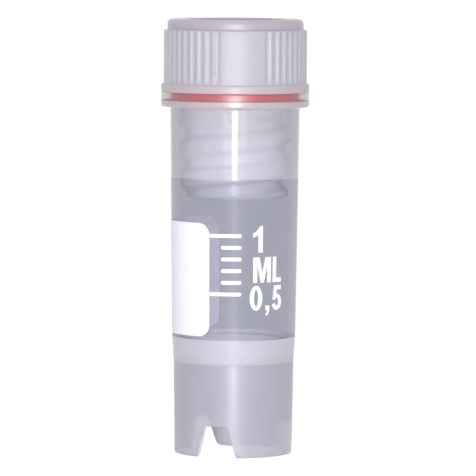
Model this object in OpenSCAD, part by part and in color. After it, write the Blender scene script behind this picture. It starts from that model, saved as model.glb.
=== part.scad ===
// Self-standing screw-cap cryogenic vial with an internal thread and a washer seal.
// Millimetres. The foot stands on z = 0 and the axis of the tube is the Z axis.
// The front of the vial faces -Y.

/* [Tube] */
// Height of the tube, from the foot to the top of the collar
tube_h = 34.95; // [28:0.05:60]
// Outer radius of the tube just under the collar
tube_r = 6.25; // [4.9:0.05:9]
// How much the outer radius shrinks from the collar down to the end of the chamber
tube_draft = 0.29; // [0:0.01:0.4]
// Wall of the tube beside the thread
mouth_wall = 0.67; // [0.5:0.01:0.9]
// Wall of the tube around the chamber
chamber_wall = 0.79; // [0.7:0.01:1.2]

/* [Collar] */
// Height of the collar
collar_h = 1.4; // [1.2:0.05:2.5]
// How far the collar and the flange of the cap stand out from the tube
collar_out = 0.9; // [0.5:0.05:1.5]
// Wall of the collar outside the seat of the washer
collar_wall = 0.85; // [0.5:0.05:1.1]

/* [Chamber end] */
// Height of the top of the solid web that closes the chamber round the cone
web_top = 11.1; // [9.8:0.1:14]
// Thickness of the web
web_h = 2.15; // [1.5:0.05:3.5]
// Height of the tip of the cone over the foot
cone_lift = 0.7; // [0.3:0.1:2]
// Outer radius of the cone where it leaves the web
cone_r = 4.35; // [3.8:0.05:4.6]
// Radius of the flat end of the cone, before its edge is rounded
cone_tip_r = 1.55; // [1.3:0.05:1.8]
// Rounding of the edge of the flat end
tip_round_r = 0.5; // [0.2:0.05:0.6]
// Wall of the cone
cone_wall = 0.8; // [0.6:0.05:1]

/* [Skirt] */
// Outer radius of the skirt at the foot
foot_r = 5.68; // [4.9:0.02:8.6]
// Wall of the skirt
skirt_wall = 0.82; // [0.6:0.02:1.1]
// Turn of each notch from the front, towards +X
notch_turns = [-17.5, 102.5, -147.5];
// Height of the notches
notch_h = 3.0; // [1:0.1:4.5]
// Width of a notch at the foot
notch_w = 3.9; // [2:0.05:5]
// Width of a notch at its top
notch_top_w = 2.4; // [1:0.05:3.5]
// Radius of the upper corners of a notch
notch_corner_r = 0.3; // [0.1:0.05:0.6]

/* [Thread] */
// Rise of the thread in one turn
thread_lead = 3.0; // [2.6:0.1:4]
// Turns of the ridge inside the tube
ridge_turns = 1.5; // [1:0.25:1.75]
// Depth of the ridge
ridge_depth = 0.88; // [0.5:0.02:1.1]
// Width of the ridge at its crest
ridge_crest_w = 0.65; // [0.4:0.05:0.9]
// Width of the ridge at the wall of the tube
ridge_root_w = 2.0; // [1.2:0.05:2.1]
// Depth of the middle of the ridge under the top of the collar
ridge_drop = 5.55; // [5:0.05:8]
// Depth of the threaded mouth under the top of the collar
mouth_depth = 8.2; // [7.9:0.1:12]
// Free space between the wall of the mouth and the threads of the plug
crest_gap = 0.39; // [0.2:0.01:0.5]
// Free space between the crest of the ridge and the core of the plug
root_gap = 0.14; // [0.08:0.01:0.3]
// Free space beside the ridge, measured along the axis
flank_gap = 0.17; // [0.1:0.01:0.3]

/* [Cap] */
// Height of the cap above the collar
cap_h = 7.05; // [6:0.05:12]
// Height of the flange of the cap
flange_h = 0.8; // [0.5:0.05:1.5]
// How far the grip lies inside the edge of the flange
grip_in = 0.23; // [0.1:0.01:0.6]
// Height of the smooth rim at the top
rim_h = 1.0; // [0.6:0.1:2]
// How far the rim lies inside the grip
rim_in = 0.35; // [0.1:0.01:0.6]
// Radius of the recess in the top
recess_r = 4.9; // [3:0.1:5.2]
// Depth of the recess in the top
recess_h = 1.5; // [0.5:0.1:2.2]
// Thickness of the web under the recess
top_web = 1.2; // [0.8:0.1:2]

/* [Plug] */
// Reach of the plug below the collar's top
plug_reach = 10.15; // [9:0.05:14]
// Wall of the plug at the bottom of its groove
plug_wall = 0.95; // [0.6:0.05:1.3]
// Radius of the rounded lower edge of the plug
plug_round = 0.5; // [0.2:0.05:0.6]

/* [Grip ribs] */
// Number of rib groups, with a smooth panel between each two
rib_groups = 4; // [2:1:6]
// Ribs in a group
ribs = 7; // [3:1:8]
// Angle from one rib to the next
rib_pitch = 7; // [5:0.5:8]
// Depth of the channels beside the ribs
channel_depth = 0.14; // [0.05:0.01:0.25]
// Radius of the tool that cuts a channel
channel_r = 0.38; // [0.3:0.01:0.42]
// Turn of the front panel towards +X
panel_turn = 6.2; // [-45:0.1:45]

/* [Washer] */
// Thickness of the silicone washer
washer_t = 0.8; // [0.5:0.05:1.2]
// Free space round the washer in its seat
seat_gap = 0.1; // [0.05:0.01:0.2]
// Free space between the washer and the neck of the cap
neck_gap = 0.1; // [0.05:0.01:0.2]
// How much wider the hole of the washer is than the plug's threads
washer_clear = 0.06; // [0.02:0.01:0.2]

/* [Edges] */
// Radius of the rounded outer edges
edge_r = 0.4; // [0.1:0.05:0.5]
// Radius of the small edges of the flange, the collar and the foot
small_r = 0.2; // [0.05:0.01:0.25]

/* [Hidden] */
$fn = 96;

// Tube
collar_z = tube_h - collar_h;
seat_z = tube_h - washer_t;
mouth_z = tube_h - mouth_depth;
tube_low_r = tube_r - tube_draft;
mouth_r = tube_r - mouth_wall;
collar_r = tube_r + collar_out;
seat_r = collar_r - collar_wall;
web_z = web_top - web_h;

// Cone under the chamber: its half angle, and how far in from its side the edge of its
// flat end starts to round
cone_a = atan((cone_r - cone_tip_r) / (web_z - cone_lift));
tip_in = tip_round_r * tan(45 - cone_a / 2);

// Thread, shared by the ridge of the tube and the groove of the plug
ridge_tip_r = mouth_r - ridge_depth;
core_r = ridge_tip_r - root_gap;
thread_r = mouth_r - crest_gap;
ridge_slope = (ridge_root_w - ridge_crest_w) / 2 / ridge_depth;
ridge_mid_z = tube_h - ridge_drop;
THREAD_STEP = 10;
RIDGE_BITE = 0.3;
RIDGE_RUNOUT = 40;

// Cap
grip_r = collar_r - grip_in;
rim_r = grip_r - rim_in;
cap_top = tube_h + cap_h;
grip_z = tube_h + flange_h;
rim_z = cap_top - rim_h;
plug_z = tube_h - plug_reach;
plug_hole_r = core_r - plug_wall;
web_low_z = cap_top - recess_h - top_web;
washer_hole_r = thread_r + washer_clear;
neck_r = washer_hole_r - neck_gap;
neck_z = seat_z - 0.3;

// Outer radius of the tube at height z
function tube_r_at(z) = tube_low_r + (tube_r - tube_low_r) * (z - web_top) / (collar_z - web_top);

// Points of a round corner of radius r about [x, z], from angle a to angle b
function corner(x, z, r, a, b, n = 6) =
    [for (i = [0 : n]) [x + r * cos(a + (b - a) * i / n), z + r * sin(a + (b - a) * i / n)]];

// Height of the middle of the thread at polar angle a
function thread_z(a) = ridge_mid_z + thread_lead * a / 360;

// Four corners of a thread section at polar angle a, from its inner to its outer radius,
// with half its width at each
function thread_section(a, inner_r, outer_r, inner_w, outer_w) = [
    for (p = [[inner_r, -inner_w], [outer_r, -outer_w], [outer_r, outer_w], [inner_r, inner_w]])
        [p[0] * cos(a), p[0] * sin(a), thread_z(a) + p[1]]
];

// A closed band swept along the thread through the sections in list s
module thread_band(s) {
    n = len(s);
    sides = [
        for (i = [0 : n - 2], j = [0 : 3])
            let (a = 4 * i + j, b = 4 * i + (j + 1) % 4)
            each [[a, b, b + 4], [a, b + 4, a + 4]]
    ];
    ends = [[3, 2, 1, 0], [4 * n - 4, 4 * n - 3, 4 * n - 2, 4 * n - 1]];
    polyhedron([for (section = s) each section], concat(sides, ends), convexity = 10);
}

// The ridge inside the mouth of the tube. Its depth runs out to nothing at both ends.
module thread_ridge() {
    half = ridge_turns * 180;
    thread_band([
        for (a = [-half : THREAD_STEP : half + 0.01])
            let (
                out = min(1, (half - abs(a)) / RIDGE_RUNOUT),
                crest_r = mouth_r + 0.05 - (ridge_depth + 0.05) * out,
                crest_w = ridge_crest_w / 2 * (0.4 + 0.6 * out),
                root_w = crest_w + ridge_slope * (mouth_r + RIDGE_BITE - crest_r)
            )
            thread_section(a, crest_r, mouth_r + RIDGE_BITE, crest_w, root_w)
    ]);
}

// The space that the ridge and its free space need, cut into the plug
module thread_groove() {
    past_r = thread_r + 0.3;
    core_w = ridge_crest_w / 2 + flank_gap;
    past_w = core_w + ridge_slope * (past_r - ridge_tip_r);
    start_turn = floor((plug_z - 1.5 - ridge_mid_z) / thread_lead * 36) * 10;
    end_turn = floor((neck_z - 0.6 - ridge_mid_z) / thread_lead * 36) * 10;
    thread_band([
        for (a = [start_turn : THREAD_STEP : end_turn])
            let (
                out = min(1, (end_turn - a) / RIDGE_RUNOUT),
                floor_r = thread_r + 0.05 - (thread_r + 0.05 - core_r) * out
            )
            thread_section(a, floor_r, past_r, core_w, past_w)
    ]);
}

// The mouth, the chamber and the hollow cone as one solid of revolution
module vial_inside() {
    ledge_r = cone_r - cone_wall / cos(cone_a) + web_h * tan(cone_a);
    // The outline of the cone, moved in by its wall at every point
    in_z = cone_lift + cone_wall;
    in_tip_r = cone_tip_r - cone_wall / cos(cone_a) + cone_wall * tan(cone_a);
    chamber_low_r = tube_low_r - chamber_wall;
    chamber_top_r = tube_r_at(mouth_z) - chamber_wall;
    rotate_extrude() polygon(concat(
        [[0, in_z]],
        corner(in_tip_r - tip_in, in_z + tip_round_r, tip_round_r, -90, -cone_a),
        [[ledge_r, web_top]],
        corner(chamber_low_r - edge_r, web_top + edge_r, edge_r, -90, 0),
        [
            [chamber_top_r, mouth_z - 0.25],
            [mouth_r, mouth_z + 0.25],
            [mouth_r, seat_z],
            [seat_r, seat_z],
            [seat_r, tube_h + 1],
            [0, tube_h + 1]
        ]
    ));
}

// The ring-shaped space between the skirt and the cone, open below
module skirt_inside() {
    skirt_in_r = foot_r - skirt_wall;
    top_in_r = skirt_in_r - 0.06;
    difference() {
        rotate_extrude() polygon(concat(
            [[0, -1], [skirt_in_r, -1], [skirt_in_r, 0]],
            corner(top_in_r - edge_r, web_z - edge_r, edge_r, 0, 90),
            [[0, web_z]]
        ));
        cone_outside();
    }
}

module cone_outside() {
    rotate_extrude() polygon(concat(
        [[0, cone_lift]],
        corner(cone_tip_r - tip_in, cone_lift + tip_round_r, tip_round_r, -90, -cone_a),
        [[cone_r, web_z], [cone_r, web_z + 0.5], [0, web_z + 0.5]]
    ));
}

// One notch, a wedge wider at the foot with round upper corners, cut through the skirt
// on the front side
module notch() {
    low = 0.5;
    side_a = atan((notch_w - notch_top_w) / 2 / notch_h);
    spread = low * tan(side_a);
    corner_x = notch_top_w / 2 - notch_corner_r * tan(45 - side_a / 2);
    corner_z = notch_h - notch_corner_r;
    translate([0, -foot_r / 2, 0]) rotate([90, 0, 0])
        linear_extrude(foot_r / 2 + 1) polygon(concat(
            [[-notch_w / 2 - spread, -low], [notch_w / 2 + spread, -low]],
            corner(corner_x, corner_z, notch_corner_r, side_a, 90, 4),
            corner(-corner_x, corner_z, notch_corner_r, 90, 180 - side_a, 4)
        ));
}

module vial() {
    skirt_top_r = foot_r + (tube_low_r - foot_r) * 0.45;
    color([0.80, 0.81, 0.86, 0.6]) {
        difference() {
            rotate_extrude() polygon(concat(
                [[0, 0]],
                corner(foot_r - small_r, small_r, small_r, -90, 0),
                [[skirt_top_r, web_z], [tube_low_r, web_top], [tube_r, collar_z - small_r]],
                [[tube_r + small_r, collar_z]],
                corner(collar_r - small_r, collar_z + small_r, small_r, -90, 0),
                corner(collar_r - small_r / 2, tube_h - small_r / 2, small_r / 2, 0, 90),
                [[0, tube_h]]
            ));
            vial_inside();
            skirt_inside();
            for (turn = notch_turns) rotate([0, 0, turn]) notch();
        }
        intersection() {
            thread_ridge();
            cylinder(r = mouth_r + RIDGE_BITE / 2, h = tube_h);
        }
    }
}

// Upright channels beside the ribs of the grip
module grip_channels() {
    for (g = [0 : rib_groups - 1], i = [0 : ribs])
        rotate([0, 0, panel_turn + (g + 0.5) * 360 / rib_groups + (i - ribs / 2) * rib_pitch])
            translate([0, -grip_r + channel_depth - channel_r, grip_z + small_r])
                cylinder(r = channel_r, h = rim_z - edge_r / 2 - grip_z - small_r, $fn = 24);
}

module cap() {
    recess_z = cap_top - recess_h;
    color([0.82, 0.81, 0.87, 0.7]) {
        difference() {
            rotate_extrude() polygon(concat(
                [[0, plug_z]],
                corner(thread_r - plug_round, plug_z + plug_round, plug_round, -90, 0),
                [
                    [thread_r, neck_z],
                    [neck_r, neck_z + (thread_r - neck_r)],
                    [neck_r, tube_h]
                ],
                corner(collar_r - small_r / 2, tube_h + small_r / 2, small_r / 2, -90, 0),
                corner(collar_r - small_r, grip_z - small_r, small_r, 0, 90),
                [[grip_r, grip_z]],
                corner(grip_r - edge_r, rim_z - edge_r, edge_r, 0, 90),
                [[rim_r, rim_z]],
                corner(rim_r - edge_r, cap_top - edge_r, edge_r, 0, 90),
                corner(recess_r + small_r, cap_top - small_r, small_r, 90, 180),
                corner(recess_r - 0.1 - small_r, recess_z + small_r, small_r, 0, -90),
                [[0, recess_z]]
            ));
            translate([0, 0, plug_z - 1]) cylinder(r = plug_hole_r, h = web_low_z - plug_z + 1);
            thread_groove();
            grip_channels();
        }
    }
}

module gasket() {
    color([0.85, 0.25, 0.30]) translate([0, 0, seat_z]) difference() {
        cylinder(r = seat_r - seat_gap, h = washer_t);
        translate([0, 0, -1]) cylinder(r = washer_hole_r, h = washer_t + 2);
    }
}

vial();
cap();
gasket();
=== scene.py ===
import math

import bmesh
import bpy
import numpy as np
from mathutils import Matrix, Vector, geometry


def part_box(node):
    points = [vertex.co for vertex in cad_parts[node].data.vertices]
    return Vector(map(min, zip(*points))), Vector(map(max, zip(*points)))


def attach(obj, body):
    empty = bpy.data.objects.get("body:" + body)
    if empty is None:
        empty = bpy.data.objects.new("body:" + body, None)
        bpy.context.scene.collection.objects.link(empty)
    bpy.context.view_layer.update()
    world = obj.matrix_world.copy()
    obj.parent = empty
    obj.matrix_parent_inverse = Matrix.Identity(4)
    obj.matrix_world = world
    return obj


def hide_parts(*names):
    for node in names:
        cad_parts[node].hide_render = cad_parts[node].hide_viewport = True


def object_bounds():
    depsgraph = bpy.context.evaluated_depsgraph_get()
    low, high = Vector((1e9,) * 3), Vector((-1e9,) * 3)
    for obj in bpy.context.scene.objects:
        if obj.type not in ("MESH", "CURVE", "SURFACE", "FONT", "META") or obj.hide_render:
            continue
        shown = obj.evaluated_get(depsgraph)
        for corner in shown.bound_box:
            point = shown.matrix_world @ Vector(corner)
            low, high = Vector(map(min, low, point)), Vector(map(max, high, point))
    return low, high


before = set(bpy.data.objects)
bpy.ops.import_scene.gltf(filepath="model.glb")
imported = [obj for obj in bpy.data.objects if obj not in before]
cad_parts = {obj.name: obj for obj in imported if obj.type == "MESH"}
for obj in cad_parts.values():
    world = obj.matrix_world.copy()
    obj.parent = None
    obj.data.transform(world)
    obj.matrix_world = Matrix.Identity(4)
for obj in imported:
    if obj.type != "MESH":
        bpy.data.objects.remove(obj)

CAD_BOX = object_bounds()
VIAL_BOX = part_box("vial")
CAP_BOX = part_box("cap")
WASHER_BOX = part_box("gasket")

bl_info = {
    "name": "Cryogenic vial",
    "version": (1, 0, 0),
    "blender": (4, 5, 0),
    "location": "3D View > Sidebar > Vial",
    "description": "Builds a screw-cap cryogenic vial with its thread, washer and printed scale",
    "category": "Add Mesh",
}

MM = 0.001
FRONT = -math.pi / 2  # polar angle of the side that faces -Y
LENGTH_DIGITS = 6  # digits shown for a length in metres, enough for a thousandth of a millimetre
SHARP = math.radians(40)  # a mesh edge that turns more than this is shaded as a hard edge
ARC_STEP = math.radians(20)  # most that one step of a rounded corner turns
RING_STEP = 2.0  # degrees between the columns of a plain round piece
ACCENT_FROM = 0.12  # a face takes the accent's finish where the accent's strength is above this

PP_IOR = 1.49  # of polypropylene
SILICONE_IOR = 1.41
GLOSS_SPREAD = 0.05  # how far the flow of the melt moves the roughness either way
SCATTER_DEPTH = 0.5 * MM  # how far light spreads in the milky plastic
COAT_ROUGHNESS = 0.36  # of the soft shine on the collar and the washer
COAT_IOR = 1.6

PRINT_Z = 17 * MM  # height where a width in the print is true; the tube's draft changes it elsewhere
TICKS = 6  # lines of the scale, the two outer ones long

# Place, aim, width and height of each lamp. Without an aim it faces the middle of the vial.
LAMPS = {
    "key": ((0, -0.62, 0.20), None, 0.36, 0.36),
    "glow": ((0, -0.31, 0.026), None, 0.24, 0.05),
    "streak": ((0, -0.30, 0.012), None, 0.036, 0.01),
    "top": ((0, -0.15, 0.60), None, 0.5, 0.5),
    "low": ((0, -0.10, 0.010), (0, 0, 0.004), 0.008, 0.016),
}
LAMP_COLOUR = (0.98, 0.975, 1)  # a little cooler than white, as the fill is
FILL_COLOUR = (0.97, 0.97, 1, 1)
WHITE = (1, 1, 1, 1)
FLOOR_GLOW = 1.1  # strength of the white that hides most of the floor's shadow
FLOOR_GLOW_SHARE = 0.85  # how much of that white is mixed in
FLOOR_HALF = 6.0  # half the width of the floor, in metres
SENSOR_WIDTH = 36  # of the camera, in millimetres
CLIP = (0.01, 50)  # nearest and farthest that the camera sees, in metres


def srgb(code):
    """Turns an sRGB hex colour into linear RGB."""
    shares = [int(code[i:i + 2], 16) / 255 for i in (1, 3, 5)]
    return tuple(s / 12.92 if s <= 0.04045 else ((s + 0.055) / 1.055) ** 2.4 for s in shares)


def length(name, description, default):
    """A property that holds a length in metres."""
    return bpy.props.FloatProperty(
        name=name, description=description, default=default, precision=LENGTH_DIGITS, unit="LENGTH"
    )


def amount(name, description, default):
    """A property that holds a plain number."""
    return bpy.props.FloatProperty(name=name, description=description, default=default)


def whole_number(name, description, default):
    """A property that holds a whole number."""
    return bpy.props.IntProperty(name=name, description=description, default=default)


def angle(name, description, degrees):
    """A property that holds an angle."""
    return bpy.props.FloatProperty(
        name=name, description=description, default=math.radians(degrees), subtype="ANGLE"
    )


def colour(name, description, code):
    """A property that holds a colour."""
    return bpy.props.FloatVectorProperty(
        name=name, description=description, default=srgb(code), size=3, min=0, max=1, subtype="COLOR"
    )


def group(name, description, kind):
    """A property that holds a group of properties."""
    return bpy.props.PointerProperty(name=name, description=description, type=kind)


class VialSizes(bpy.types.PropertyGroup):
    """Sizes of the moulded tube."""

    height: length("Height", "From the foot to the top of the collar", VIAL_BOX[1].z)
    tube_r: length("Tube radius", "Outer radius just under the collar", 6.25 * MM)
    tube_low_r: length("Low tube radius", "Outer radius at the end of the chamber", 5.96 * MM)
    mouth_r: length("Mouth radius", "Inner radius of the threaded mouth", 5.58 * MM)
    mouth_z: length("Mouth bottom", "Height where the mouth meets the chamber", 26.75 * MM)
    chamber_wall: length("Chamber wall", "Wall round the chamber", 0.79 * MM)
    collar_r: length("Collar radius", "Outer radius of the collar", VIAL_BOX[1].y)
    collar_z: length("Collar bottom", "Height of the underside of the collar", 33.55 * MM)
    seat_r: length("Seat radius", "Radius of the washer's seat", 6.3 * MM)
    seat_z: length("Seat height", "Height of the washer's seat", WASHER_BOX[0].z)
    web_top: length("Web top", "Height of the chamber's floor", 11.1 * MM)
    web_low: length("Web bottom", "Height of the underside of the web", 8.95 * MM)
    cone_r: length("Cone radius", "Outer radius of the cone at the web", 4.35 * MM)
    cone_lift: length("Cone lift", "Height of the tip of the cone", 0.7 * MM)
    cone_tip_r: length("Cone tip radius", "Radius of the flat end of the cone", 1.55 * MM)
    cone_round: length("Cone tip rounding", "Rounding of the edge of the flat end", 0.5 * MM)
    cone_wall: length("Cone wall", "Wall of the cone", 0.8 * MM)
    foot_r: length("Foot radius", "Outer radius of the skirt at the foot", 5.68 * MM)
    skirt_wall: length("Skirt wall", "Wall of the skirt", 0.82 * MM)
    notch_h: length("Notch height", "Height of a notch", 3.0 * MM)
    notch_w: length("Notch width", "Width of a notch at the foot", 3.9 * MM)
    notch_top_w: length("Notch top width", "Width of a notch at its top", 2.4 * MM)
    notch_corner: length("Notch corner", "Radius of the upper corners of a notch", 0.3 * MM)
    notch_front: angle("Front notch", "Turn of the front notch from the front", -17.5)
    notch_right: angle("Right notch", "Turn of the right notch from the front", 102.5)
    notch_rear: angle("Rear notch", "Turn of the rear notch from the front", -147.5)


class ThreadSizes(bpy.types.PropertyGroup):
    """Sizes of the thread that the tube and the plug share."""

    lead: length("Lead", "Rise in one turn", 3.0 * MM)
    middle: length("Middle", "Height of the thread at the right of the vial", 29.4 * MM)
    turns: amount("Ridge turns", "Turns of the ridge in the tube", 1.5)
    depth: length("Ridge depth", "How far the ridge stands in from the mouth", 0.88 * MM)
    crest_w: length("Crest width", "Width of the ridge at its crest", 0.65 * MM)
    root_w: length("Root width", "Width of the ridge at the wall", 2.0 * MM)
    groove_floor_w: length("Groove floor", "Width of the plug's groove at its floor", 0.99 * MM)
    groove_w: length("Groove width", "Width of the plug's groove at its edge", 1.81 * MM)
    groove_depth: length("Groove depth", "Depth of the plug's groove", 0.63 * MM)
    runout: angle("Run-out", "Angle in which the thread runs out", 40)


class CapSizes(bpy.types.PropertyGroup):
    """Sizes of the screw cap."""

    top: length("Top", "Height of the top", CAP_BOX[1].z)
    flange_r: length("Flange radius", "Outer radius of the flange", CAP_BOX[1].y)
    flange_z: length("Flange bottom", "Height of the underside of the flange", WASHER_BOX[1].z)
    grip_z: length("Grip bottom", "Height where the grip starts", 35.75 * MM)
    grip_r: length("Grip radius", "Outer radius of the grip", 6.92 * MM)
    rim_z: length("Rim bottom", "Height where the smooth rim starts", 41.0 * MM)
    rim_r: length("Rim radius", "Outer radius of the rim", 6.57 * MM)
    recess_r: length("Recess radius", "Radius of the recess in the top", 4.9 * MM)
    recess_h: length("Recess depth", "Depth of the recess in the top", 1.5 * MM)
    plug_z: length("Plug bottom", "Height of the end of the plug", CAP_BOX[0].z)
    plug_r: length("Plug radius", "Outer radius of the plug's threads", 5.19 * MM)
    plug_hole_r: length("Hollow radius", "Radius of the plug's hollow", 3.61 * MM)
    plug_hole_top: length("Hollow top", "Height of the end of the hollow", 39.3 * MM)
    neck_r: length("Neck radius", "Radius of the washer's neck", 5.15 * MM)
    neck_z: length("Neck height", "Height where the neck starts", 33.85 * MM)
    rib_groups: whole_number("Rib groups", "Groups of ribs round the grip", 4)
    ribs: whole_number("Ribs", "Ribs in a group", 7)
    rib_pitch: angle("Rib pitch", "Angle from rib to rib", 7)
    channel_r: length("Channel radius", "Radius of the channel beside a rib", 0.38 * MM)
    channel_depth: length("Channel depth", "Depth of the channel beside a rib", 0.15 * MM)
    panel_turn: angle("Panel turn", "Turn of the front panel from the front", 6.2)


class WasherSizes(bpy.types.PropertyGroup):
    """Sizes of the silicone washer."""

    outer_r: length("Outer radius", "Outer radius of the washer", WASHER_BOX[1].y)
    hole_r: length("Hole radius", "Radius of the hole", 5.25 * MM)
    low: length("Bottom", "Height of the underside", WASHER_BOX[0].z)
    high: length("Top", "Height of the top", WASHER_BOX[1].z)


class PrintSizes(bpy.types.PropertyGroup):
    """Sizes and places of the print on the tube."""

    patch_near: angle("Patch edge", "Edge of the write-on patch beside the scale", -23)
    patch_far: angle("Patch far edge", "Other edge of the write-on patch", -166)
    patch_low: length("Patch bottom", "Height of the patch's lower edge", 11.68 * MM)
    patch_high: length("Patch top", "Height of the patch's upper edge", 22.58 * MM)
    patch_corner: length("Patch corner", "Radius of the patch's corners", 1.15 * MM)
    tick_end: angle("Tick end", "Where the ticks end beside the numerals", 6.7)
    tick_start: angle("Tick start", "Where the short ticks start", -11.9)
    tick_low: length("Lowest tick", "Height of the half-millilitre tick", 15.8 * MM)
    tick_high: length("Highest tick", "Height of the one-millilitre tick", 21.4 * MM)
    tick_w: length("Tick width", "Thickness of a tick", 0.36 * MM)
    ink: length("Ink thickness", "How far the ink stands proud", 0.012 * MM)


class FinishColours(bpy.types.PropertyGroup):
    """Colours of the plastics, the silicone and the ink."""

    # The tube's dark blue-grey is painted shade: the wall round the chamber is the same clear plastic as
    # beside the thread, darkened so that the chamber looks dim. The mouth's lighter grey is painted
    # light, for the white plug behind that wall.
    tube: colour("Tube", "Clear natural polypropylene round the chamber", "#4B4F76")
    mouth: colour("Mouth", "Clear natural polypropylene beside the thread", "#A6A5B3")
    # The pink of the collar and of the wall round the washer is painted light: red from the washer,
    # scattered in the milky plastic.
    collar: colour("Collar", "Natural polypropylene of the collar", "#B6A7AD")
    collar_wall: colour("Collar wall", "Clear natural polypropylene round the washer", "#946C76")
    web: colour("Web", "Natural polypropylene where it is thick", "#C8C7D1")
    skirt: colour("Skirt", "Natural polypropylene of the skirt", "#A9A8B5")
    cap: colour("Cap", "Frosted natural polypropylene of the cap", "#B6B3BE")
    rim: colour("Rim", "Natural polypropylene of the smooth rim", "#ADA6B1")
    # The flange's pink is painted light as well: red from the washer under it.
    flange: colour("Flange", "Natural polypropylene of the flange, over the red washer", "#C2B5BB")
    plug: colour("Plug", "Natural polypropylene of the plug", "#F3F3F8")
    washer: colour("Washer", "Red silicone", "#F03545")
    ink: colour("Ink", "White screen ink", "#F6F5FD")
    floor: colour("Floor", "Pale studio floor", "#F4F4F4")


class StageSettings(bpy.types.PropertyGroup):
    """Camera and lights."""

    elevation: angle("Elevation", "Height of the camera over the horizon", 4)
    roll: angle("Roll", "Turn of the camera about its view", 0.35)
    distance: length("Distance", "From the camera to the axis of the vial", 430 * MM)
    aim_x: length("Aim to the side", "Where the camera looks, to the side of the axis", 0.36 * MM)
    aim_z: length("Aim height", "Height where the camera looks", 20.8 * MM)
    lens: amount("Lens", "Focal length in millimetres", 335.8)
    fill: amount("Fill", "Level of the soft light all round", 0.58)
    key: amount("Key", "Power of the soft front light, in watts", 0.72)
    glow: amount("Glow", "Power of the low front light, in watts", 0.13)
    streak: amount("Streak", "Power of the narrow front light, in watts", 0.12)
    top: amount("Top", "Power of the soft light above, in watts", 0.8)
    low: amount("Low", "Power of the light before the foot, in watts", 0.014)


class VialSettings(bpy.types.PropertyGroup):
    """All that a user may change."""

    vial: group("Tube", "Sizes of the moulded tube", VialSizes)
    thread: group("Thread", "Sizes of the thread that the tube and the plug share", ThreadSizes)
    cap: group("Cap", "Sizes of the screw cap", CapSizes)
    washer: group("Washer", "Sizes of the silicone washer", WasherSizes)
    label: group("Print", "Sizes and places of the print on the tube", PrintSizes)
    colours: group("Colours", "Colours of the plastics, the silicone and the ink", FinishColours)
    stage: group("Stage", "Camera and lights", StageSettings)


# ---------------------------------------------------------------- finishes

def add_node(tree, kind, values=(), links=(), **fields):
    """Adds a node with its fields, its socket values and the sockets that feed it."""
    node = tree.nodes.new(kind)
    for name, value in fields.items():
        setattr(node, name, value)
    for socket, value in dict(values).items():
        node.inputs[socket].default_value = value
    for socket, source in dict(links).items():
        tree.links.new(source, node.inputs[socket])
    return node


def tinted(rgb, factor):
    """The colour made lighter or darker, as an RGBA value."""
    return (*(min(1.0, c * factor) for c in rgb), 1)


def moulded(name, rgb, alpha=1.0, rough=0.35, mottle=0.04, mottle_size=2.5 * MM,
            grain_size=0.15 * MM, grain_depth=0.002 * MM, specular=0.5, ior=PP_IOR,
            scatter=0.0, coat=0.0):
    """A smooth surface: slow colour variation from the flow of the material, and a fine grain.
    Polypropylene, silicone and ink differ only in their values. alpha below 1 stands for a wall
    that is clear enough to look through."""
    material = bpy.data.materials.new(name)
    material.use_nodes = True
    tree = material.node_tree
    tree.nodes.clear()
    place = add_node(tree, "ShaderNodeTexCoord").outputs["Object"]
    flow = add_node(tree, "ShaderNodeTexNoise",
                    {"Scale": 1 / mottle_size, "Detail": 2, "Roughness": 0.5}, {"Vector": place})
    grain = add_node(tree, "ShaderNodeTexNoise",
                     {"Scale": 1 / grain_size, "Detail": 2, "Roughness": 0.6}, {"Vector": place})
    # Sockets 0, 6, 7 and output 2 are the factor, the two colours and the mixed colour
    mix = add_node(tree, "ShaderNodeMix", {6: tinted(rgb, 1 - mottle), 7: tinted(rgb, 1 + mottle)},
                   {0: flow.outputs["Fac"]}, data_type="RGBA")
    gloss = add_node(tree, "ShaderNodeMapRange",
                     {"To Min": rough - GLOSS_SPREAD, "To Max": rough + GLOSS_SPREAD},
                     {"Value": flow.outputs["Fac"]})
    bump = add_node(tree, "ShaderNodeBump", {"Strength": 1.0, "Distance": grain_depth},
                    {"Height": grain.outputs["Fac"]})
    shader = add_node(tree, "ShaderNodeBsdfPrincipled",
                      {"Alpha": alpha, "IOR": ior, "Specular IOR Level": specular,
                       "Subsurface Weight": scatter, "Subsurface Radius": (1, 1, 1),
                       "Subsurface Scale": SCATTER_DEPTH,
                       "Coat Weight": coat, "Coat Roughness": COAT_ROUGHNESS, "Coat IOR": COAT_IOR},
                      {"Base Color": mix.outputs[2], "Roughness": gloss.outputs["Result"],
                       "Normal": bump.outputs["Normal"]})
    add_node(tree, "ShaderNodeOutputMaterial", (), {"Surface": shader.outputs["BSDF"]})
    if alpha < 1:
        material.surface_render_method = "BLENDED"
    return material


def seen_directly(tree):
    """Adds nodes that give 1 for what the camera sees, straight, in a gloss or through a clear wall,
    and 0 for light on its way to a surface."""
    path = add_node(tree, "ShaderNodeLightPath")
    seen = add_node(tree, "ShaderNodeMath", (),
                    {0: path.outputs["Is Camera Ray"], 1: path.outputs["Is Glossy Ray"]},
                    operation="ADD")
    seen = add_node(tree, "ShaderNodeMath", (),
                    {0: seen.outputs[0], 1: path.outputs["Is Transmission Ray"]},
                    operation="ADD", use_clamp=True)
    return seen.outputs[0]


# ---------------------------------------------------------------- shapes

def make_piece(name, spots, faces, materials, slots=None):
    """Makes a smoothly shaded object from its corners and faces. slots gives each face's material."""
    mesh = bpy.data.meshes.new(name)
    mesh.from_pydata(spots.tolist(), [], faces)
    for material in materials:
        mesh.materials.append(material)
    if slots:
        mesh.polygons.foreach_set("material_index", slots)
    mesh.polygons.foreach_set("use_smooth", [True] * len(faces))
    mesh.set_sharp_from_angle(angle=SHARP)
    mesh.update()
    piece = bpy.data.objects.new(name, mesh)
    bpy.context.scene.collection.objects.link(piece)
    return piece


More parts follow.
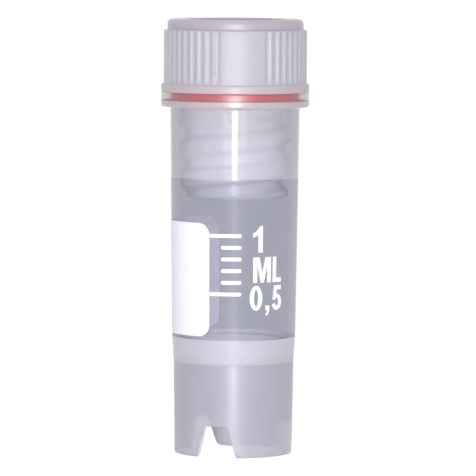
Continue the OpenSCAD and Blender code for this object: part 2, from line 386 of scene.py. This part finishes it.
def rounded_outline(corners, closed=False):
    """Turns corners (radius, height, rounding, zone, row spacing) into rows and the zone of each step.
    The zone and the row spacing belong to the run that starts at the corner."""
    points = [Vector(corner[:2]) for corner in corners]
    total = len(corners)
    arcs = []
    for i, corner in enumerate(corners):
        here, arc = points[i], [points[i]]
        if corner[2] and (closed or 0 < i < total - 1):
            back, ahead = points[i - 1] - here, points[(i + 1) % total] - here
            room = 0.49 * min(back.length, ahead.length)  # so that two roundings never meet
            back.normalize()
            ahead.normalize()
            half = back.angle(ahead) / 2
            setback = min(corner[2] / math.tan(half), room)
            centre = here + (back + ahead).normalized() * (setback / math.cos(half))
            first, final = here + back * setback - centre, here + ahead * setback - centre
            start = math.atan2(first.y, first.x)
            turn = (math.atan2(final.y, final.x) - start + math.pi) % math.tau - math.pi
            steps = max(3, math.ceil(abs(turn) / ARC_STEP))
            arc = [centre + first.length * Vector((math.cos(start + turn * k / steps),
                                                   math.sin(start + turn * k / steps)))
                   for k in range(steps + 1)]
        arcs.append(arc)
    rows, zones = [], []
    for i, arc in enumerate(arcs):
        zone, spacing = corners[i][3:5]
        rows += arc
        zones += [zone] * (len(arc) - 1)
        if i == total - 1 and not closed:
            break
        run = arcs[(i + 1) % total][0] - arc[-1]
        count = max(1, math.ceil(run.length / spacing))
        rows += [arc[-1] + run * k / count for k in range(1, count)]
        zones += [zone] * count
    return np.array([row[:] for row in rows]), zones


def lathe(name, corners, angles, finishes, shape=None, closed=False, accent=None):
    """Revolves an outline about the axis into one closed mesh. shape moves the rows at each angle,
    and finishes gives the material of each zone. accent is a zone, the finish that takes its place
    and a function of height and angle that gives its strength, for parts that don't follow the rows.
    An outline that isn't closed starts and ends on the axis, with one corner at each end."""
    rows, zones = rounded_outline(corners, closed)
    count, turns = len(rows), len(angles)
    radius = np.repeat(rows[:, :1], turns, axis=1)
    height = np.repeat(rows[:, 1:], turns, axis=1)
    row_zones = np.array(zones + [zones[-1]])[:count]
    level = accent[2](height, angles[None, :]) if accent else None
    if shape:
        radius, height = shape(radius, height, angles[None, :], row_zones[:, None])
    spots = np.stack([radius * np.cos(angles), radius * np.sin(angles), height], axis=2)
    steps = count if closed else count - 1
    faces, slots = [], []
    names = list(finishes)
    if closed:
        spots = spots.reshape(-1, 3)
    else:
        spots = np.concatenate([spots[0, :1], spots[1:-1].reshape(-1, 3), spots[-1, :1]])
    column = np.arange(turns)
    after = (column + 1) % turns
    for i in range(steps):
        slot = names.index(zones[i])
        if closed:
            low, high = i * turns, (i + 1) % count * turns
        else:
            low, high = 1 + (i - 1) * turns, 1 + i * turns
        if not closed and i == 0:
            ring = np.stack([np.zeros(turns, int), high + after, high + column], axis=1)
        elif not closed and i == steps - 1:
            ring = np.stack([low + column, low + after, np.full(turns, len(spots) - 1)], axis=1)
        else:
            ring = np.stack([low + column, low + after, high + after, high + column], axis=1)
        faces += ring.tolist()
        if accent and zones[i] == accent[0]:
            beside = level[i] + level[i + 1]
            strong = (beside + beside[after]) / 4 > ACCENT_FROM
            slots += np.where(strong, names.index(accent[1]), slot).tolist()
        else:
            slots += [slot] * turns
    return make_piece(name, spots, faces, finishes.values(), slots)


def smooth_min(a, b, soft):
    """The lower of a and b, with a rounded change-over."""
    part = np.clip(0.5 + 0.5 * (b - a) / soft, 0, 1)
    return b + (a - b) * part - soft * part * (1 - part)


def ease(x):
    """A soft step from 0 to 1."""
    x = np.clip(x, 0, 1)
    return x * x * (3 - 2 * x)


def helix(height, angles, middle, lead, start, end, top_w, foot_w, runout, open_start=False):
    """How much of its depth a thread has at each point, from 0 beside it to 1 on its crest. It runs
    from the angle start to the angle end and fades out over runout, or only at the end if open_start."""
    best = np.zeros(np.broadcast(height, angles).shape)
    for turn in range(math.floor(start / math.tau) - 1, math.ceil(end / math.tau) + 1):
        along = angles + turn * math.tau
        left = end - along if open_start else np.minimum(end - along, along - start)
        flank = foot_w / 2 - np.abs(height - middle - lead * along / math.tau)
        flank = np.clip(flank / ((foot_w - top_w) / 2), 0, 1)
        # Nearly straight flanks, with softened edges
        best = np.maximum(best, (0.55 * flank + 0.45 * ease(flank)) * ease(left / runout))
    return best


def fine_angles(coarse, near):
    """Angles round the axis: every coarse degrees, with the given ones in place of those that would
    lie closer to them than nearly half a step."""
    near = np.unique(np.round(np.mod(near, 360), 4))
    plain = np.arange(0, 360, coarse)
    gap = np.abs((plain[:, None] - near[None, :] + 180) % 360 - 180).min(axis=1)
    return np.radians(np.sort(np.concatenate([plain[gap > coarse * 0.45], near])))


# ---------------------------------------------------------------- print

def bend(points, stand, radius_at):
    """Lays flat points (distance round the tube, height) on the tube, standing proud of it."""
    radius = radius_at(points[:, 1])
    turn = points[:, 0] / radius_at(PRINT_Z) + FRONT
    return np.stack([(radius + stand) * np.cos(turn), (radius + stand) * np.sin(turn), points[:, 1]],
                    axis=1)


def ink_layer(name, shapes, radius_at, rise, sink, material):
    """A thin closed layer of ink, from sink under the wall's surface to rise over it. Each shape is a
    list of outlines, the first round the others. The flat mesh is made in millimetres, cut into
    upright strips that can follow the curve, and then bent."""
    strip = 0.2
    flat = bmesh.new()
    for outlines in shapes:
        loops = [[Vector((x, z, 0)) / MM for x, z in outline] for outline in outlines]
        spots = [flat.verts.new(point) for loop in loops for point in loop]
        for corners in geometry.tessellate_polygon(loops):
            face = flat.faces.new([spots[i] for i in corners])
            face.normal_update()
            if face.normal.z < 0:
                face.normal_flip()
    across = [v.co.x for v in flat.verts]
    for cut in np.arange(min(across) + strip, max(across), strip):
        bmesh.ops.bisect_plane(flat, geom=flat.verts[:] + flat.edges[:] + flat.faces[:],
                               plane_co=(cut, 0, 0), plane_no=(1, 0, 0), dist=1e-6)
    bmesh.ops.remove_doubles(flat, verts=flat.verts[:], dist=1e-5)
    flat.verts.index_update()
    spots = np.array([(v.co.x * MM, v.co.y * MM) for v in flat.verts])
    count = len(spots)
    faces = [[v.index for v in f.verts] for f in flat.faces]
    flat.free()
    under = [[i + count for i in reversed(face)] for face in faces]
    # An edge whose other direction no face has is on the outline, and gets a side
    edges = {edge: None for face in faces for edge in zip(face, face[1:] + face[:1])}
    sides = [[a, a + count, b + count, b] for a, b in edges if (b, a) not in edges]
    both = np.concatenate([bend(spots, rise, radius_at), bend(spots, -sink, radius_at)])
    return make_piece(name, both, faces + under + sides, [material])


def arc_points(x, z, rx, rz, start, end, steps):
    """Points on an ellipse from one angle to another, in degrees."""
    return [(x + rx * math.cos(math.radians(start + (end - start) * k / steps)),
             z + rz * math.sin(math.radians(start + (end - start) * k / steps)))
            for k in range(steps + 1)]


def round_box(left, low, right, high, corner, steps=8):
    """A box with round corners."""
    return (arc_points(right - corner, low + corner, corner, corner, -90, 0, steps)
            + arc_points(right - corner, high - corner, corner, corner, 0, 90, steps)
            + arc_points(left + corner, high - corner, corner, corner, 90, 180, steps)
            + arc_points(left + corner, low + corner, corner, corner, 180, 270, steps))


def numeral_one(h):
    """The numeral 1, with a slanted flag."""
    return [[(0.56, 0), (1.02, 0), (1.02, h), (0.70, h), (0.60, h - 0.22), (0.42, h - 0.46),
             (0.20, h - 0.62), (0.02, h - 0.68), (0.02, h - 1.10), (0.30, h - 1.00), (0.56, h - 0.82)]]


def letter_m(h):
    """A bold M with a full-depth middle."""
    return [[(0, 0), (0.42, 0), (0.42, h - 0.72), (0.77, 0), (1.13, 0), (1.48, h - 0.72), (1.48, 0),
             (1.90, 0), (1.90, h), (1.25, h), (0.95, 0.92), (0.65, h), (0, h)]]


def letter_l(h):
    """A bold L."""
    return [[(0, 0), (1.10, 0), (1.10, 0.42), (0.44, 0.42), (0.44, h), (0, h)]]


def numeral_zero(h):
    """A bold oval 0."""
    return [arc_points(0.65, h / 2, 0.65, h / 2 + 0.03, 0, 350, 35),
            arc_points(0.65, h / 2, 0.22, h / 2 - 0.36, 0, 345, 23)]


def numeral_five(h):
    """A bold 5 with its bar, stem and bowl."""
    bowl_x, bowl_z = 0.57, 0.76
    outer = arc_points(bowl_x, bowl_z, 0.62, 0.79, 104, -164, 26)
    inner = arc_points(bowl_x, bowl_z, 0.20, 0.39, -162, 128, 24)
    return [[(0.21, h), (1.13, h), (1.13, h - 0.42), (0.55, h - 0.42), (0.49, 1.50)]
            + outer[1:] + inner + [(0.40, 0.98), (0.04, 0.98)]]


def comma():
    """A slanted comma, whose dot stands on the line."""
    return [[(0.02, 0), (0.02, 0.44), (0.46, 0.44), (0.46, 0.02), (0.38, -0.26), (0.20, -0.54),
             (0.02, -0.46), (0.16, -0.24), (0.20, 0)]]


def set_type(outlines, x, z):
    """Moves a glyph drawn in millimetres to its place."""
    return [[(x + px * MM, z + pz * MM) for px, pz in outline] for outline in outlines]


# Each glyph of the label, with the turn of its left edge from the front in degrees and the height
# of its foot in millimetres
GLYPHS = (
    (numeral_one(2.55), 17.0, 19.80),
    (letter_m(2.45), 17.6, 16.90),
    (letter_l(2.45), 37.6, 16.92),
    (numeral_zero(2.35), 14.5, 14.25),
    (comma(), 30.0, 14.25),
    (numeral_five(2.35), 37.5, 14.25),
)


# ---------------------------------------------------------------- operators

def settings():
    """The settings of the scene."""
    return bpy.context.scene.vial_settings


def wall_radius(height, s):
    """Outer radius of the tube over the web."""
    return s.tube_low_r + (s.tube_r - s.tube_low_r) * (height - s.web_top) / (s.collar_z - s.web_top)


class VIAL_OT_tube(bpy.types.Operator):
    """Builds the moulded tube with its collar, threaded mouth, chamber, cone and notched skirt"""

    bl_idname = "vial.tube"
    bl_label = "Tube"

    def execute(self, context):
        s, t, c = settings().vial, settings().thread, settings().colours
        finishes = {
            # Natural polypropylene is milky: thin walls look grey and clear, thick ones white
            "cone": moulded("polypropylene_cone", c.web, 0.85, 0.35),
            "web_under": moulded("polypropylene_web_underside", c.web, 0.5, 0.35),
            "skirt_inside": moulded("polypropylene_skirt_inside", c.skirt, 0.3, 0.4),
            # The foot and the cut faces of the notches take the plug's near-white: a painted highlight
            # along the notches' edges.
            "foot": moulded("polypropylene_foot", c.plug, 0.85, 0.3),
            "skirt": moulded("polypropylene_skirt", c.skirt, 0.84, 0.3, specular=1.0),
            "web": moulded("polypropylene_web", c.web, 0.78, 0.25, specular=0.6, scatter=0.8),
            # The wall round the chamber is darkened with painted shade, so that the chamber looks dim;
            # the inside faces of the chamber and the neck take the same colour, almost clear.
            "tube": moulded("polypropylene_tube", c.tube, 0.43, 0.3, specular=0.2),
            # The lighter colour is painted light for the white plug behind, and the strong mottle is
            # painted light and shade of the thread that shows blurred through the wall
            "mouth": moulded("polypropylene_mouth", c.mouth, 0.6, 0.1, mottle=0.1, mottle_size=1.2 * MM),
            # The collar and the wall round the washer are tinted pink with painted light: red from the
            # washer, scattered in the milky plastic. The seat takes the collar's colour, almost clear.
            "collar": moulded("polypropylene_collar", c.collar, 0.9, 0.26, specular=1.0, coat=0.5),
            "collar_wall": moulded("polypropylene_collar_wall", c.collar_wall, 0.45, 0.3,
                                   specular=1.0, coat=1.0),
            "seat": moulded("polypropylene_seat", c.collar, 0.03, 0.3),
            "thread": moulded("polypropylene_mouth_inside", c.plug, 0.07, 0.3),
            "ridge": moulded("polypropylene_thread", c.plug, 0.85, 0.3),
            "chamber": moulded("polypropylene_chamber", c.tube, 0.02, 0.3, specular=0.1),
            "neck": moulded("polypropylene_chamber_top", c.tube, 0.01, 0.3),
            "floor": moulded("polypropylene_chamber_floor", c.plug, 0.8, 0.15, specular=1.0),
        }
        mouth_low_r = wall_radius(s.mouth_z, s) - s.chamber_wall
        chamber_low_r = s.tube_low_r - s.chamber_wall
        flare = (s.tube_low_r - s.foot_r) * 0.45  # the rest of the step is at the web
        skirt_top_r = s.foot_r + flare
        skirt_in_r = s.foot_r - s.skirt_wall
        inner_draft = 0.06 * MM  # how much the inside of the skirt narrows up to the web
        cone_slope = (s.cone_r - s.cone_tip_r) / (s.web_low - s.cone_lift)
        wall_across = s.cone_wall * math.hypot(1, cone_slope)
        ledge_r = s.cone_r - wall_across + (s.web_top - s.web_low) * cone_slope
        tip_in_z = s.cone_lift + s.cone_wall
        tip_in_r = s.cone_tip_r - wall_across + s.cone_wall * cone_slope
        wide, wider, fine, thread_rows = 0.6 * MM, 0.8 * MM, 0.25 * MM, 0.11 * MM
        bent_h = s.notch_h + 0.9 * MM  # rows up to here give way to the notches
        corners = [
            (0, s.cone_lift, 0, "cone", wide),
            (s.cone_tip_r, s.cone_lift, s.cone_round, "cone", wide),
            (s.cone_r, s.web_low, 0.15 * MM, "web_under", wide),
            (skirt_in_r - inner_draft, s.web_low, 0.4 * MM, "skirt_inside", wide),
            (skirt_in_r - inner_draft * bent_h / s.web_low, bent_h, 0, "skirt_inside", fine),
            (skirt_in_r, 0, 0.1 * MM, "foot", fine),
            (s.foot_r, 0, 0.12 * MM, "skirt", fine),
            (s.foot_r + (skirt_top_r - s.foot_r) * bent_h / s.web_low, bent_h, 0, "skirt", wide),
            (skirt_top_r, s.web_low, 0, "web", wide),
            (s.tube_low_r, s.web_top + 0.25 * MM, 0, "tube", wider),
            (wall_radius(s.mouth_z, s), s.mouth_z, 0, "mouth", wider),
            (s.tube_r, s.collar_z - 0.2 * MM, 0, "mouth", wide),
            (s.tube_r + 0.2 * MM, s.collar_z, 0.1 * MM, "collar", wide),
            (s.collar_r, s.collar_z, 0.2 * MM, "collar", wide),
            (s.collar_r, s.seat_z, 0, "collar_wall", wide),
            (s.collar_r, s.height, 0.1 * MM, "collar_wall", wide),
            (s.seat_r, s.height, 0.06 * MM, "seat", wide),
            (s.seat_r, s.seat_z, 0.05 * MM, "seat", wide),
            (s.mouth_r, s.seat_z, 0.12 * MM, "thread", thread_rows),
            (s.mouth_r, s.mouth_z + 0.25 * MM, 0.1 * MM, "thread", thread_rows),
            (mouth_low_r, s.mouth_z - 0.25 * MM, 0.1 * MM, "neck", wide),
            (mouth_low_r - 0.02 * MM, CAP_BOX[0].z, 0, "chamber", wide),
            (chamber_low_r, s.web_top, 0.4 * MM, "floor", wide),
            (ledge_r, s.web_top, 0.2 * MM, "floor", wide),
            (tip_in_r, tip_in_z, s.cone_round, "floor", wide),
            (0, tip_in_z, 0, "floor", wide),
        ]
        notch_angles = [FRONT + turn for turn in (s.notch_front, s.notch_right, s.notch_rear)]
        edge = math.degrees(s.notch_w / 2 / s.foot_r)
        # Half-degree columns from 12 degrees inside a notch's edge to 3 degrees outside it
        near = [math.degrees(a) + side * d for a in notch_angles for side in (-1, 1)
                for d in np.arange(edge - 12, edge + 3, 0.5)]
        half_ridge = t.turns * math.pi  # half the angle that the ridge goes round
        ridge_room = 0.3 * MM  # the ridge moves rows up to this far inside the mouth's wall
        slack = 0.01 * MM
        slope = (s.notch_w - s.notch_top_w) / 2 / s.notch_h
        corner_soft, foot_soft = 1.2 * s.notch_corner, 0.35 * MM
        skirt_zones = ["skirt_inside", "foot", "skirt"]

        def ridge(height, angles):
            return helix(height, angles, t.middle, t.lead, -half_ridge, half_ridge,
                         t.crest_w, t.root_w, t.runout)

        def shape(radius, height, angles, zones):
            at_mouth = (radius > s.mouth_r - ridge_room) & (radius < s.mouth_r + slack)
            narrow = np.where(at_mouth, t.depth * ridge(height, angles), 0)
            lift = np.zeros(height.shape)
            for middle in notch_angles:
                off = (angles - middle + math.pi) % math.tau - math.pi
                side = (s.notch_w / 2 - np.abs(radius * np.sin(off))) / slope
                side = np.where(np.abs(off) < math.pi / 2, side, -s.notch_h)
                cut = smooth_min(side, s.notch_h, corner_soft)
                lift = np.maximum(lift, -smooth_min(-cut, 0, foot_soft))
            low = np.isin(zones, skirt_zones) & (height < bent_h)
            raised = np.where(low, lift + height * (1 - lift / bent_h), height)
            draft = np.where(radius > (s.foot_r + skirt_in_r) / 2,
                             (skirt_top_r - s.foot_r) / s.web_low, -inner_draft / s.web_low)
            return radius - narrow + (raised - height) * draft, raised

        tube = lathe("tube", corners, fine_angles(RING_STEP, near), finishes, shape,
                     accent=("thread", "ridge", ridge))
        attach(tube, "vial")
        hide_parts("vial")
        return {"FINISHED"}


class VIAL_OT_cap(bpy.types.Operator):
    """Builds the screw cap with its ribbed grip, flange and hollow threaded plug"""

    bl_idname = "vial.cap"
    bl_label = "Screw cap"

    def execute(self, context):
        s, t, c = settings().cap, settings().thread, settings().colours
        finishes = {
            "hollow": moulded("polypropylene_plug_hollow", c.plug, 0.9, 0.4),
            "plug": moulded("polypropylene_plug", c.plug, 0.95, 0.35, scatter=1.0),
            # The flange's pink is painted light: red from the washer under it, scattered in the milky
            # plastic.
            "flange": moulded("polypropylene_flange", c.flange, 0.9, 0.35,
                              grain_depth=0.004 * MM, specular=0.8),
            # The spark-eroded grain of the mould breaks up the gloss. A real one is finer and about
            # a hundredth of a millimetre deep: this is drawn coarser and deeper, so that it shows.
            "grip": moulded("polypropylene_grip", c.cap, 1.0, 0.2,
                            grain_size=0.16 * MM, grain_depth=0.045 * MM, specular=0.6),
            "rim": moulded("polypropylene_rim", c.rim, 1.0, 0.25,
                           grain_size=0.14 * MM, grain_depth=0.02 * MM, specular=0.8),
        }
        wide, fine, thread_rows = 0.6 * MM, 0.1 * MM, 0.12 * MM
        corners = [
            (0, s.plug_hole_top, 0, "hollow", wide),
            (s.plug_hole_r, s.plug_hole_top, 0.3 * MM, "hollow", wide),
            (s.plug_hole_r, s.plug_z, 0.15 * MM, "plug", thread_rows),
            (s.plug_r, s.plug_z, 0.5 * MM, "plug", thread_rows),
            (s.plug_r, s.neck_z, 0, "plug", thread_rows),
            (s.neck_r, s.neck_z + s.plug_r - s.neck_r, 0, "plug", wide),
            (s.neck_r, s.flange_z, 0.05 * MM, "flange", wide),
            (s.flange_r, s.flange_z, 0.1 * MM, "flange", wide),
            (s.flange_r, s.grip_z, 0.2 * MM, "flange", fine),
            (s.grip_r, s.grip_z, 0.05 * MM, "grip", 0.3 * MM),
            (s.grip_r, s.rim_z, 0.4 * MM, "grip", fine),
            (s.rim_r, s.rim_z, 0.06 * MM, "rim", fine),
            (s.rim_r, s.top, 0.45 * MM, "rim", wide),
            (s.recess_r, s.top, 0.25 * MM, "rim", wide),
            (s.recess_r - 0.1 * MM, s.top - s.recess_h, 0.2 * MM, "rim", wide),
            (0, s.top - s.recess_h, 0, "rim", wide),
        ]
        # A rib is what is left between two round channels
        channels = [FRONT + s.panel_turn + (g + 0.5) * math.tau / s.rib_groups
                    + (i - s.ribs / 2) * s.rib_pitch
                    for g in range(s.rib_groups) for i in range(s.ribs + 1)]
        cutter_r = s.grip_r - s.channel_depth + s.channel_r
        beside = (1.3, 2.05, 2.35, 2.6, 2.9, 3.5)  # degrees from a channel's middle to its columns
        near = [math.degrees(a) + d for a in channels for d in (0, *beside, *(-d for d in beside))]
        # The groove starts open under the end of the plug
        groove_start, groove_end = -3 * math.tau, 1.25 * math.tau
        rib_fade, rib_sink, rib_soft = 0.15 * MM, 0.2 * MM, 0.09 * MM

        far = 1.0  # farther out than any channel

        def shape(radius, height, angles, zones):
            groove = helix(height, angles, t.middle, t.lead, groove_start, groove_end,
                           t.groove_floor_w, t.groove_w, t.runout, open_start=True)
            floor_r = s.plug_r - t.groove_depth * groove
            radius = np.where(height < s.neck_z, np.minimum(radius, floor_r), radius)
            edge = np.full(radius.shape, far)
            for middle in channels:
                off = (angles - middle + math.pi) % math.tau - math.pi
                within = s.channel_r ** 2 - (cutter_r * np.sin(off)) ** 2
                cut = cutter_r * np.cos(off) - np.sqrt(np.maximum(within, 0))
                edge = np.minimum(edge, np.where((within > 0) & (np.abs(off) < 1), cut, far))
            ends = ease((height - s.grip_z) / rib_fade) * ease((s.rim_z - height) / rib_fade)
            edge = edge + (1 - ends) * rib_sink
            return np.where(zones == "grip", smooth_min(edge, radius, rib_soft), radius), height

        cap = lathe("screw_cap", corners, fine_angles(2.5, near), finishes, shape)
        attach(cap, "cap")
        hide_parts("cap")
        return {"FINISHED"}


class VIAL_OT_washer(bpy.types.Operator):
    """Builds the red silicone washer"""

    bl_idname = "vial.washer"
    bl_label = "Washer"

    def execute(self, context):
        s, c = settings().washer, settings().colours
        # Silicone has a slightly waxy surface, and shines where it is pressed against the clear wall
        silicone = moulded("silicone_red", c.washer, 1.0, 0.35, mottle=0.06, mottle_size=1.5 * MM,
                           grain_size=0.1 * MM, grain_depth=0.003 * MM, specular=1.0,
                           ior=SILICONE_IOR, coat=1.0)
        corners = [
            (s.outer_r, s.low, 0.12 * MM, "silicone", 0.2 * MM),
            (s.outer_r, s.high, 0.12 * MM, "silicone", 0.3 * MM),
            (s.hole_r, s.high, 0.12 * MM, "silicone", 0.2 * MM),
            (s.hole_r, s.low, 0.12 * MM, "silicone", 0.3 * MM),
        ]
        washer = lathe("washer", corners, fine_angles(RING_STEP, [0]), {"silicone": silicone},
                       closed=True)
        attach(washer, "gasket")
        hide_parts("gasket")
        return {"FINISHED"}


class VIAL_OT_print(bpy.types.Operator):
    """Prints the write-on patch, the scale and its numerals on the tube"""

    bl_idname = "vial.print"
    bl_label = "Print"

    def execute(self, context):
        s, v, c = settings().label, settings().vial, settings().colours

        def radius_at(height):
            return wall_radius(height, v)

        around = radius_at(PRINT_Z)  # an angle times this is a distance round the tube
        # Screen ink lies thick and matt, with a faint weave left by the mesh
        matt_ink = moulded("ink_white_patch", c.ink, 1.0, 0.55, mottle=0.015, mottle_size=3 * MM,
                           grain_size=0.2 * MM, grain_depth=0.002 * MM, specular=0.3)
        scale_ink = moulded("ink_white_scale", c.ink, 1.0, 0.5, mottle=0.01,
                            grain_depth=0.001 * MM, specular=0.3)
        patch_sink, scale_sink = 0.05 * MM, 0.02 * MM
        patch = round_box(s.patch_far * around, s.patch_low, s.patch_near * around, s.patch_high,
                          s.patch_corner, 10)
        pieces = [ink_layer("print_patch", [[patch]], radius_at, s.ink, patch_sink, matt_ink)]
        ticks = []
        for i in range(TICKS):
            middle = s.tick_high + (s.tick_low - s.tick_high) * i / (TICKS - 1)
            is_long = i in (0, TICKS - 1)
            start = s.patch_near * around + 0.01 * MM if is_long else s.tick_start * around
            box = round_box(start, middle - s.tick_w / 2, s.tick_end * around, middle + s.tick_w / 2,
                            s.tick_w * 0.4, 4)
            ticks.append([box])
        pieces.append(ink_layer("print_scale", ticks, radius_at, s.ink, scale_sink, scale_ink))
        glyphs = [set_type(glyph, math.radians(turn) * around, height * MM)
                  for glyph, turn, height in GLYPHS]
        pieces.append(ink_layer("print_numerals", glyphs, radius_at, s.ink, scale_sink, scale_ink))
        for piece in pieces:
            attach(piece, "vial")
        return {"FINISHED"}


class VIAL_OT_stage(bpy.types.Operator):
    """Sets up the floor, the camera and the lights"""

    bl_idname = "vial.stage"
    bl_label = "Stage"

    def execute(self, context):
        s, c = settings().stage, settings().colours
        scene = context.scene
        scene.view_settings.view_transform = "Standard"
        scene.cycles.transparent_max_bounces = 48  # a ray along the wall meets many clear faces
        self.make_floor(c)
        self.make_world(scene, s)
        self.make_camera(scene, s)
        middle = (CAD_BOX[0] + CAD_BOX[1]) / 2
        for name, (place, target, width, tall) in LAMPS.items():
            self.make_lamp(name, getattr(s, name), place, target or middle, width, tall)
        return {"FINISHED"}

    def make_camera(self, scene, s):
        """Adds the camera, which looks down a little at the vial."""
        aim = Vector((s.aim_x, 0, s.aim_z))
        back = Vector((0, -math.cos(s.elevation), math.sin(s.elevation)))
        lens = bpy.data.cameras.new("camera")
        lens.lens, lens.sensor_width = s.lens, SENSOR_WIDTH
        lens.clip_start, lens.clip_end = CLIP
        camera = bpy.data.objects.new("camera", lens)
        camera.location = aim + back * s.distance
        facing = (-back).to_track_quat("-Z", "Y").to_matrix()
        camera.rotation_euler = (facing @ Matrix.Rotation(s.roll, 3, "Z")).to_euler()
        scene.collection.objects.link(camera)
        scene.camera = camera

    def make_lamp(self, name, power, place, aim, width, tall):
        """Adds a soft lamp that shines through the clear tube, as light does in the real one."""
        light = bpy.data.lights.new(name, "AREA")
        light.shape, light.size, light.size_y = "RECTANGLE", width, tall
        light.energy = power
        light.color = LAMP_COLOUR
        lamp = bpy.data.objects.new(name, light)
        lamp.location = place
        lamp.rotation_euler = (Vector(aim) - Vector(place)).to_track_quat("-Z", "Y").to_euler()
        lamp.visible_camera = False
        bpy.context.scene.collection.objects.link(lamp)
        clear = [bpy.data.objects.get(piece) for piece in ("tube", "print_patch")]
        if None in clear:
            raise RuntimeError("Build the tube and its print before the stage")
        lets_through = bpy.data.collections.new(name + "_lets_through")
        for member, piece in enumerate(clear):
            lets_through.objects.link(piece)
            lets_through.collection_objects[member].light_linking.link_state = "EXCLUDE"
        lamp.light_linking.blocker_collection = lets_through

    def make_floor(self, colours):
        """Adds the white floor, which keeps a weak shadow."""
        corners = [(x * FLOOR_HALF, y * FLOOR_HALF, 0) for x, y in ((-1, -1), (1, -1), (1, 1), (-1, 1))]
        mesh = bpy.data.meshes.new("floor")
        mesh.from_pydata(corners, [], [(0, 1, 2, 3)])
        material = bpy.data.materials.new("paper_white_floor")
        material.use_nodes = True
        tree = material.node_tree
        tree.nodes.clear()
        place = add_node(tree, "ShaderNodeTexCoord").outputs["Object"]
        fibre = add_node(tree, "ShaderNodeTexNoise", {"Scale": 1 / (0.5 * MM), "Detail": 3},
                         {"Vector": place})
        bump = add_node(tree, "ShaderNodeBump", {"Distance": 0.003 * MM},
                        {"Height": fibre.outputs["Fac"]})
        paper = add_node(tree, "ShaderNodeBsdfDiffuse", {"Color": (*colours.floor, 1)},
                         {"Normal": bump.outputs["Normal"]})
        white = add_node(tree, "ShaderNodeEmission", {"Color": WHITE, "Strength": FLOOR_GLOW})
        part = add_node(tree, "ShaderNodeMath", {1: FLOOR_GLOW_SHARE}, {0: seen_directly(tree)},
                        operation="MULTIPLY")
        mix = add_node(tree, "ShaderNodeMixShader", (),
                       {0: part.outputs[0], 1: paper.outputs[0], 2: white.outputs[0]})
        add_node(tree, "ShaderNodeOutputMaterial", (), {"Surface": mix.outputs[0]})
        mesh.materials.append(material)
        floor = bpy.data.objects.new("floor", mesh)
        bpy.context.scene.collection.objects.link(floor)

    def make_world(self, scene, s):
        """Adds the white background and the soft light all round."""
        world = bpy.data.worlds.new("studio")
        world.use_nodes = True
        scene.world = world
        tree = world.node_tree
        tree.nodes.clear()
        soft = add_node(tree, "ShaderNodeBackground", {"Color": FILL_COLOUR, "Strength": s.fill})
        white = add_node(tree, "ShaderNodeBackground", {"Color": WHITE, "Strength": 1.0})
        mix = add_node(tree, "ShaderNodeMixShader", (),
                       {0: seen_directly(tree), 1: soft.outputs[0], 2: white.outputs[0]})
        add_node(tree, "ShaderNodeOutputWorld", (), {"Surface": mix.outputs[0]})


class VIAL_PT_panel(bpy.types.Panel):
    """Lists the sizes, the colours and the operators"""

    bl_idname = "VIAL_PT_panel"
    bl_label = "Cryogenic vial"
    bl_space_type = "VIEW_3D"
    bl_region_type = "UI"
    bl_category = "Vial"

    def draw(self, context):
        for part in self.own(settings()):
            box = self.layout.box()
            box.label(text=part.name)
            held = getattr(settings(), part.identifier)
            for prop in self.own(held):
                box.prop(held, prop.identifier)
        for operator in OPERATORS:
            self.layout.operator(operator.bl_idname)

    @staticmethod
    def own(held):
        """The properties of a group, without the two that every group has."""
        return [prop for prop in held.bl_rna.properties if prop.identifier not in ("rna_type", "name")]


OPERATORS = (VIAL_OT_tube, VIAL_OT_cap, VIAL_OT_washer, VIAL_OT_print, VIAL_OT_stage)
CLASSES = (VialSizes, ThreadSizes, CapSizes, WasherSizes, PrintSizes, FinishColours, StageSettings,
           VialSettings, *OPERATORS, VIAL_PT_panel)


def register():
    """Adds the add-on's classes and settings."""
    for cls in CLASSES:
        bpy.utils.register_class(cls)
    bpy.types.Scene.vial_settings = bpy.props.PointerProperty(type=VialSettings)


def unregister():
    """Takes them out again."""
    del bpy.types.Scene.vial_settings
    for cls in reversed(CLASSES):
        bpy.utils.unregister_class(cls)


def main():
    """Builds the whole scene."""
    register()
    bpy.ops.vial.tube()
    bpy.ops.vial.cap()
    bpy.ops.vial.washer()
    bpy.ops.vial.print()
    bpy.ops.vial.stage()


if __name__ == "__main__":
    main()
